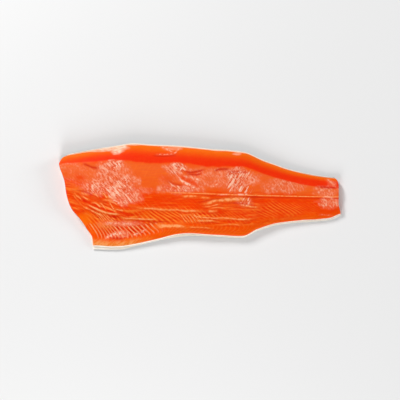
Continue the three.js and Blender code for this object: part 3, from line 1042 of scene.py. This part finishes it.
# %% Painting
MIX_BELOW, MIX_ABOVE, MIX_RESULT = 6, 7, 2  # a Mix node's sockets for two colours and their mix


def colour(red, green, blue):
    """A colour as the eye reads it, 0 to 255, turned into the light values that shaders use."""
    eye = np.array([red, green, blue]) / 255
    light = np.where(eye <= 0.04045, eye / 12.92, ((eye + 0.055) / 1.055) ** 2.4)
    return (*light.tolist(), 1.0)


class Painting(Drawing):
    """A drawing with a colour that is built up in layers."""

    def ramp(self, position, stops, way="LINEAR"):
        """Paints the ground: colours that follow each other while the position goes from 0 to 1."""
        node = self.add("ValToRGB", position)
        node.color_ramp.interpolation = way
        elements = node.color_ramp.elements
        while len(elements) < len(stops):
            elements.new(0.5)
        for element, (at, shade) in zip(elements, stops):
            element.position = at
            element.color = colour(*shade)
        self.colour = node.outputs[0]

    def paint(self, share, tint):
        """Lays a colour over what is painted so far."""
        node = self.add("Mix", share, data_type="RGBA")
        self.feed(node.inputs[MIX_BELOW], self.colour)
        self.feed(node.inputs[MIX_ABOVE], tint)
        self.colour = node.outputs[MIX_RESULT]

    def bump(self, height, strength, distance=0.4 * MM):
        """The normal of a surface that stands up with this height."""
        return self.fill(self.add("Bump"), Height=height, Strength=strength, Distance=distance)[0]


print("Half grey to the eye is", round(colour(128, 128, 128)[0], 2), "of white's light.")

# %% Groups and finishes
def new_group(name, inputs, outputs):
    """An empty node group. An input of None is a place, others are numbers, and so is each output."""
    tree = bpy.data.node_groups.new(name, "ShaderNodeTree")
    for label, value in inputs.items():
        kind = "NodeSocketVector" if value is None else "NodeSocketFloat"
        socket = tree.interface.new_socket(label, in_out="INPUT", socket_type=kind)
        if value is not None:
            socket.default_value = value
    for label in outputs:
        tree.interface.new_socket(label, in_out="OUTPUT", socket_type="NodeSocketFloat")
    given, made = tree.nodes.new("NodeGroupInput"), tree.nodes.new("NodeGroupOutput")
    return Drawing(tree), given.outputs, made


def new_finish(name):
    """A new material, a painting in it, its shader, and the places on the object."""
    finish = bpy.data.materials.new(name)
    finish.use_nodes = True
    draw = Painting(finish.node_tree)
    place = draw.add("TexCoord").outputs["Object"]
    return finish, draw, finish.node_tree.nodes["Principled BSDF"], place


print("There are", len(bpy.data.materials), "materials so far.")

# %% [markdown]
# ## Seam lines
# Fat between two flakes is a thin pale line that swells and thins. The group turns a flake number
# into such a line. A noise bends the number a little, so that no line looks ruled.

# %% Seam line group
seam_lines, given, made = new_group(
    "Seam lines",
    {"Flake": 0, "Place": None, "Half width": 0.04, "Softness": 0.13, "Wobble": 0.16},
    ["Line", "From seam", "Seam tone"],
)
bend = seam_lines.sums("SUBTRACT", seam_lines.noise(given["Place"], 160, 2), 0.5)
bent = seam_lines.sums("MULTIPLY_ADD", bend, given["Wobble"], given["Flake"])
share = seam_lines.sums("FRACT", seam_lines.sums("ADD", bent, 0.5))
distance = seam_lines.sums("ABSOLUTE", seam_lines.sums("SUBTRACT", share, 0.5))
outside = seam_lines.sums("ADD", given["Half width"], given["Softness"])
own = seam_lines.add("TexWhiteNoise", noise_dimensions="1D")
seam_lines.fill(
    made,
    Line=seam_lines.ease(distance, given["Half width"], outside, 1.0, 0.0),
    From_seam=distance,
    Seam_tone=seam_lines.fill(own, W=seam_lines.sums("ROUND", bent))["Value"],
)
print("The seam group has", len(seam_lines.tree.nodes), "nodes.")

# %% [markdown]
# ## Streaks
# Fibres, glare off wet film and slime all come as short streaks that run one way. The group turns
# and stretches the coordinates of a noise, so one group makes every kind of streak: thin fibres along
# the flesh, slanting strokes of painted glare, and the fine grain of the skin. A streak shows from one
# height of the noise on, and is full at another. Ridge and Furrow follow two heights of it as thin lines.

# %% Streak group
RIDGE_HEIGHT, FURROW_HEIGHT, LINE_REACH = 0.53, 0.45, 0.05

streaks, given, made = new_group(
    "Streaks",
    {"Place": None, "Angle": 0, "Length": 0.02, "Width": 0.002, "From": 0.5, "To": 0.65},
    ["Streak", "Ridge", "Furrow", "Height"],
)
turned = streaks.add("VectorRotate", rotation_type="Z_AXIS")
turned = streaks.fill(turned, Vector=given["Place"], Angle=given["Angle"])[0]
sides = streaks.add("SeparateXYZ", turned).outputs
stretches = (given["Length"], given["Width"], given["Width"])
stretched = [streaks.sums("DIVIDE", side, size) for side, size in zip(sides, stretches)]
height = streaks.noise(streaks.add("CombineXYZ", *stretched).outputs[0], 1.0)


def line_at(level):
    """1 where the noise is at this height, and 0 a little off it."""
    off = streaks.sums("ABSOLUTE", streaks.sums("SUBTRACT", height, level))
    return streaks.ease(off, 0.0, LINE_REACH, 1.0, 0.0)


streaks.fill(
    made,
    Streak=streaks.ease(height, given["From"], given["To"]),
    Ridge=line_at(RIDGE_HEIGHT),
    Furrow=line_at(FURROW_HEIGHT),
    Height=height,
)
print("Groups so far:", ", ".join(group.name for group in bpy.data.node_groups))

# %% Kinds of streak
STREAK_KINDS = {  # angle, length and width in metres, and where on the noise it starts and is full
    "fibres": (0, 0.016, 0.0018, 0.46, 0.68),
    "thin folds": (0, 0.04, 0.0045, 0.53, 0.63),
    "flushes": (0, 0.026, 0.007, 0.5, 0.62),
    "ripples": (math.radians(60), 0.0045, 0.0025, 0.48, 0.64),
    "left strokes": (math.radians(50), 0.015, 0.0027, 0.535, 0.62),
    "right strokes": (math.radians(-60), 0.015, 0.0026, 0.535, 0.62),
    "pale grain": (0.2, 0.011, 0.0026, 0.35, 0.6),
    "hatching": (math.radians(-42), 0.014, 0.003, 0.47, 0.66),
    "rim grain": (0, 0.006, 0.0015, 0.4, 0.7),
}


def streaks_in(draw, kind, place):
    """Places the streak group in a drawing, with the values of one kind of streak."""
    angle, length, width, start, end = STREAK_KINDS[kind]
    return draw.use(streaks, Place=place, Angle=angle, Length=length, Width=width, From=start, To=end)


print("There are", len(STREAK_KINDS), "kinds of streak.")

# %% [markdown]
# ## Finish of the flesh
# Salmon flesh is orange-red, and how pale it looks depends on how much fat and moisture lie on it.
# The colour is built in layers, as paint would be: a ground colour that changes across the fillet,
# then pale seams and strands, red creases with painted shade, and last patches of painted sheen and
# glare, and the fat at the edges.

# %% Flesh: ground colour
GROUND = [  # place across, from 0 at the belly edge to 1 at the back edge, and colour
    (0.0, (240, 90, 4)), (0.1, (243, 77, 0)), (0.2, (240, 66, 0)), (0.4, (240, 60, 0)),
    (0.5, (238, 68, 2)), (0.56, (238, 92, 28)), (0.76, (240, 98, 38)), (0.86, (242, 78, 2)),
    (1.0, (238, 102, 4)),
]
BAND_RED = colour(242, 46, 0)
GOLD = colour(248, 106, 6)

flesh_finish, draw, shader, place = new_finish("salmon_flesh")
sides = draw.add("SeparateXYZ", place).outputs
cloudy = draw.sums("SUBTRACT", draw.noise(place, 45), 0.5)
from_belly = draw.sums("MULTIPLY_ADD", draw.mark("across"), 0.5, 0.5)
draw.ramp(draw.sums("MULTIPLY_ADD", cloudy, 0.07, from_belly), GROUND, "EASE")
off_edge = draw.ease(draw.mark("across"), 0.94, 0.7)
off_head = draw.ease(sides["X"], -0.2, -0.16, 0.5, 1.0)
draw.paint(draw.times(draw.mark("band"), off_edge, off_head), BAND_RED)
draw.paint(draw.times(draw.mark("golden"), 0.9, clamp=True), GOLD)
print("The ground colour goes through", len(GROUND), "shades.")

# %% Flesh: seams and combed flakes
ORANGE_FAT = colour(254, 142, 52)
COMBED_RED = colour(224, 38, 0)
COMBED_ORANGE = colour(255, 142, 48)

seams = draw.use(seam_lines, Flake=draw.mark("flake"), Place=place)
ribs = draw.mark("ribs")
seam_patchy = draw.ease(draw.noise(place, 90, 2), 0.35, 0.65, 0.4, 1.0)
off_ribs = draw.sums("SUBTRACT", 1.0, ribs)
seam_tone = draw.ease(seams["Seam tone"], 0.0, 1.0, 0.55, 1.0)
draw.paint(draw.times(seams["Line"], draw.mark("clear"), seam_patchy, off_ribs, seam_tone), ORANGE_FAT)
combed = draw.mark("combed")
in_flake = draw.ease(seams["From seam"], 0.08, 0.38)
draw.paint(draw.times(combed, in_flake, 0.9), COMBED_RED)
draw.paint(draw.times(combed, draw.sums("SUBTRACT", 1.0, in_flake), 0.8), COMBED_ORANGE)
print("With the seams the drawing has", len(draw.tree.nodes), "nodes.")

# %% Flesh: where the ribs lay
RIB_RED = colour(212, 30, 2)
RIB_PALE = colour(255, 168, 110)

rib_patchy = draw.ease(draw.noise(place, 60, 2), 0.35, 0.6, 0.35, 0.85)
draw.paint(draw.times(draw.mark("rib_red"), rib_patchy), RIB_RED)
rib_places = draw.use(seam_lines, Flake=draw.mark("rib"), Place=place)
rib_ridge = draw.ease(rib_places["From seam"], 0.26, 0.4)
draw.paint(draw.times(rib_ridge, ribs, draw.sums("ADD", rib_patchy, 0.2), clamp=True), RIB_PALE)
print("With the ribs' places the drawing has", len(draw.tree.nodes), "nodes.")

# %% Flesh: fibres and folds
PALE_FAT = colour(255, 174, 116)
# Painted shade: dark red for creases and for the low side of folds.
SHADE_RED = colour(206, 26, 0)
FIBRE = colour(252, 116, 12)
FLUSH = colour(234, 40, 0)

fold = draw.times(draw.mark("fold"), MM)
along_folds = draw.add("CombineXYZ", sides["X"], fold, sides["Z"]).outputs[0]
fibres = streaks_in(draw, "fibres", along_folds)
thin_folds = streaks_in(draw, "thin folds", along_folds)
flushes = streaks_in(draw, "flushes", along_folds)
folded = draw.mark("folded")
fold_share = draw.times(folded, draw.ease(draw.noise(place, 38, 2), 0.42, 0.62, 0.15, 1.0))
off_band = draw.sums("SUBTRACT", 0.25, draw.times(draw.mark("band"), 0.22))
draw.paint(draw.times(fibres["Streak"], off_band), FIBRE)
# Painted shade: a dark red line on the low side of each thin fold. The pale line on its ridge is fat, painted
# lighter as the fold's lit side.
draw.paint(draw.times(thin_folds["Furrow"], fold_share, 0.8), SHADE_RED)
draw.paint(draw.times(flushes["Streak"], folded, 0.9), FLUSH)
lit_fold_lines = draw.times(thin_folds["Streak"], fold_share, 0.8)
draw.paint(lit_fold_lines, ORANGE_FAT)
draw.paint(draw.ease(lit_fold_lines, 0.6, 1.0, 0.0, 0.7), PALE_FAT)
print("With the folds the drawing has", len(draw.tree.nodes), "nodes.")

# %% Flesh: moist patches, painted as sheen and glare
SHEEN = colour(242, 128, 88)
GLARE_LIGHT = colour(255, 204, 176)
SHEEN_HOLLOW = colour(226, 80, 34)
LINE_RED = colour(238, 64, 0)

# Painted sheen: a veil of moisture laid on as pale colour, with pale glare on its ripples and darker hollows
# between them.
veil = draw.times(draw.mark("veiled"), draw.ease(draw.noise(place, 130), 0.35, 0.6, 0.45, 0.9))
ripples = streaks_in(draw, "ripples", place)
hollows = draw.ease(ripples["Height"], 0.49, 0.38)
draw.paint(veil, SHEEN)
draw.paint(draw.times(hollows, veil, 0.8), SHEEN_HOLLOW)
draw.paint(draw.times(ripples["Streak"], veil, 0.5), GLARE_LIGHT)
draw.paint(draw.times(draw.mark("red"), 0.9, clamp=True), LINE_RED)
print("With the moist veil the drawing has", len(draw.tree.nodes), "nodes.")

# %% Flesh: painted shade in creases, and strands
# Painted shade: creases, the low side of ridges and strands, and a line below the midline turn deep red.
draw.paint(draw.times(draw.mark("crease"), 0.8, clamp=True), SHADE_RED)
broken = draw.ease(draw.noise(place, 260), 0.3, 0.6, 0.6, 1.0)
fat_share = draw.times(draw.mark("fat"), broken, clamp=True)
draw.paint(fat_share, ORANGE_FAT)
draw.paint(draw.ease(fat_share, 0.3, 0.95, 0.0, 0.9), PALE_FAT)
print("With the strands the drawing has", len(draw.tree.nodes), "nodes.")

# %% Flesh: strokes of painted glare
STROKE_SHADE_RED = colour(222, 74, 28)

tailward = draw.ease(sides["X"], -0.01, 0.02)
headward = draw.sums("SUBTRACT", 1.0, tailward)
# Painted glare: pale strokes where wet film catches the light, with painted shade along the furrow beside
# each.
lights, gaps_between = [], []
for kind, here in (("left strokes", headward), ("right strokes", tailward)):
    strokes = streaks_in(draw, kind, place)
    lit = draw.sums("MAXIMUM", strokes["Streak"], draw.times(strokes["Ridge"], 0.4))
    lights.append(draw.times(lit, here))
    gaps_between.append(draw.times(strokes["Furrow"], here))
scribbles = draw.sums("ADD", *lights, clamp=True)
stroked = draw.mark("stroked")
draw.paint(draw.times(draw.sums("ADD", *gaps_between, clamp=True), stroked, clamp=True), STROKE_SHADE_RED)
stroke_glare = draw.times(scribbles, stroked, clamp=True)
draw.paint(stroke_glare, SHEEN)
draw.paint(draw.ease(stroke_glare, 0.2, 1.0, 0.0, 0.75), GLARE_LIGHT)
print("With the strokes the drawing has", len(draw.tree.nodes), "nodes.")

# %% Flesh: painted glints, and wisps
GLINT = colour(255, 208, 180)
WISP = colour(252, 136, 94)

# Painted glints: small pale specks of wet sparkle.
glints = draw.ease(draw.noise(place, 400, 2), 0.55, 0.72, 0.0, 0.85)
draw.paint(draw.times(glints, veil, draw.sums("MULTIPLY_ADD", stroked, 0.7, 0.3)), GLINT)
# Wisps are tatters of pale film, with painted glare on their cores.
tatters = draw.ease(draw.noise(place, 280, 3, 0.65), 0.34, 0.58, 0.2, 1.0)
wispy = draw.times(draw.mark("wisps"), tatters, clamp=True)
draw.paint(wispy, WISP)
draw.paint(draw.ease(wispy, 0.3, 0.95, 0.0, 0.85), GLARE_LIGHT)
print("With the wisps the drawing has", len(draw.tree.nodes), "nodes.")

# %% Flesh: cut faces
BACK_PALE = colour(255, 204, 176)
CUT_RIM = colour(242, 116, 70)
CREAM = colour(252, 224, 196)
DARK_MUSCLE = colour(120, 38, 24)

# Pale streaky patches along the back.
pale_grain = draw.sums("MULTIPLY_ADD", streaks_in(draw, "pale grain", place)["Streak"], 0.5, 0.45)
draw.paint(draw.times(draw.mark("back_pale"), pale_grain), BACK_PALE)
draw.paint(draw.ease(draw.mark("from_cut"), 2.6, 0.6, 0.0, 0.15), CUT_RIM)
depth = draw.mark("depth")
draw.paint(draw.times(seams["Line"], draw.ease(depth, 0.02, 0.1), 0.45), PALE_FAT)
flank_muscle = draw.ease(draw.sums("ABSOLUTE", draw.mark("across")), 0.22, 0.02)
draw.paint(draw.times(flank_muscle, draw.ease(depth, 0.55, 0.85), 0.85), DARK_MUSCLE)
draw.paint(draw.ease(depth, 0.9, 0.97, 0.0, 0.75), CREAM)
print("With the cut faces the drawing has", len(draw.tree.nodes), "nodes.")

# %% Flesh: fat at the belly and the edges
BELLY_FAT = colour(242, 140, 56)
HATCH_LIGHT = colour(252, 186, 124)
HATCH_SHADE = colour(226, 96, 18)
BELLY_RIM = colour(255, 247, 234)

belly_band = draw.mark("belly_fat")
hatch = streaks_in(draw, "hatching", place)
# The pale hatch lines of fat are painted as lit, and the furrow beside each as painted shade.
hatch_lit = draw.sums("MAXIMUM", draw.times(hatch["Streak"], 0.5), draw.times(hatch["Ridge"], 0.4))
draw.paint(draw.times(belly_band, 0.85), BELLY_FAT)
draw.paint(draw.times(belly_band, hatch_lit), HATCH_LIGHT)
draw.paint(draw.times(belly_band, draw.times(hatch["Furrow"], 0.6)), HATCH_SHADE)
draw.paint(draw.times(draw.ease(draw.mark("across"), 0.98, 0.995), 0.7), CREAM)
draw.paint(draw.ease(draw.mark("across"), -0.975, -0.99), BELLY_RIM)
print("With its edges the drawing has", len(draw.tree.nodes), "nodes.")

# %% Flesh: wet gloss and fine relief
FLESH_BUMP = 0.7
WATER_IOR = 1.4

wet = draw.ease(draw.noise(place, 55), 0.35, 0.65, 0.22, 0.34)
dull = draw.sums("MAXIMUM", draw.mark("crease"), draw.mark("band"))
raised = draw.sums("MULTIPLY_ADD", draw.noise(place, 900), 0.25, fibres["Height"])
raised = draw.sums("MULTIPLY_ADD", draw.times(thin_folds["Height"], fold_share), 2.5, raised)
raised = draw.sums("MULTIPLY_ADD", draw.times(scribbles, stroked), 0.6, raised)
draw.fill(
    shader,
    Base_Color=draw.colour,
    Roughness=draw.sums("MULTIPLY_ADD", dull, 0.3, wet),
    Normal=draw.bump(raised, FLESH_BUMP),
    IOR=WATER_IOR,
    Specular_IOR_Level=0.09,
    Coat_Weight=0.07,
    Coat_Roughness=0.12,
    Subsurface_Weight=0.1,
    Subsurface_Radius=(1.0, 0.35, 0.15),
    Subsurface_Scale=3 * MM,
)
flesh.data.materials.append(flesh_finish)
print("The flesh's finish has", len(draw.tree.nodes), "nodes.")

# %% [markdown]
# ## Finish of the skin
# Seen from above only the skin's cut edge shows, a cream line of fat. Below, the skin is silver,
# dark blue-green towards the back and white at the belly, with rows of small scales that overlap
# like tiles. Every second row is moved by half a scale, as bricks are, and the rows' coordinates
# are bent inside each scale, which makes its end round.

# %% Scale group
scales, given, made = new_group("Scales", {"Place": None, "Size": 0.0028}, ["Height", "Edge", "Tone"])
sides = scales.add("SeparateXYZ", given["Place"]).outputs
u = scales.sums("DIVIDE", sides["X"], given["Size"])
v = scales.sums("DIVIDE", sides["Y"], scales.times(given["Size"], 0.8))
half_row = scales.times(scales.sums("FLOORED_MODULO", scales.sums("FLOOR", u), 2.0), 0.5)
column = scales.sums("ADD", v, half_row)
in_v = scales.sums("SUBTRACT", scales.sums("FRACT", column), 0.5)
arc = scales.times(in_v, in_v, 2.2)
rim = scales.sums("FRACT", scales.sums("ADD", scales.sums("FRACT", u), arc))
row = scales.sums("FLOOR", scales.sums("ADD", u, arc))
cell = scales.add("CombineXYZ", row, scales.sums("FLOOR", column)).outputs[0]
tone = scales.add("TexWhiteNoise", cell).outputs["Value"]
scales.fill(made, Height=rim, Edge=scales.ease(rim, 0.8, 0.97), Tone=tone)
print("The scale group has", len(scales.tree.nodes), "nodes.")

# %% Skin finish: colour
SKIN_SHADES = [  # place across, from 0 at the belly edge to 1 at the back edge, and colour
    (0.0, (232, 226, 214)), (0.2, (214, 216, 214)), (0.48, (176, 184, 190)),
    (0.68, (112, 130, 142)), (0.85, (46, 66, 78)), (1.0, (30, 44, 54)),
]
SCALE_LIGHT = colour(240, 244, 246)
SCALE_EDGE = colour(52, 62, 70)
LATERAL_LINE = colour(70, 80, 88)
RIM_FAT = colour(252, 244, 232)
RIM_GRAIN = colour(250, 222, 192)

skin_finish, draw, shader, place = new_finish("salmon_skin")
scaled = draw.use(scales, Place=place)
cloudy = draw.sums("SUBTRACT", draw.noise(place, 40), 0.5)
from_belly = draw.sums("MULTIPLY_ADD", draw.mark("across"), 0.5, 0.5)
draw.ramp(draw.sums("MULTIPLY_ADD", cloudy, 0.12, from_belly), SKIN_SHADES)
draw.paint(draw.times(scaled["Tone"], 0.25), SCALE_LIGHT)
draw.paint(draw.times(scaled["Edge"], 0.45), SCALE_EDGE)
draw.paint(draw.ease(draw.sums("ABSOLUTE", draw.mark("flank")), 1.1, 0.4, 0.0, 0.6), LATERAL_LINE)
scaly = draw.colour
draw.colour = RIM_FAT
draw.paint(draw.times(streaks_in(draw, "rim grain", place)["Streak"], 0.35), RIM_GRAIN)
outer = draw.ease(draw.mark("outer"), 0.35, 0.75)
draw.paint(outer, scaly)
print("The skin's colour goes through", len(SKIN_SHADES), "shades.")

# %% Skin finish: gloss and scales
SKIN_BUMP = 0.8

draw.fill(
    shader,
    Base_Color=draw.colour,
    Roughness=draw.ease(draw.noise(place, 120, 2), 0.3, 0.7, 0.22, 0.38),
    Metallic=draw.times(outer, 0.35),
    Normal=draw.bump(draw.times(scaled["Height"], outer), SKIN_BUMP),
    IOR=WATER_IOR,
    Coat_Weight=0.3,
    Coat_Roughness=0.15,
)
skin.data.materials.append(skin_finish)
print("The skin's finish has", len(draw.tree.nodes), "nodes.")

# %% [markdown]
# ## Size
# The finished fillet has to be as large as the solid that it stands for.
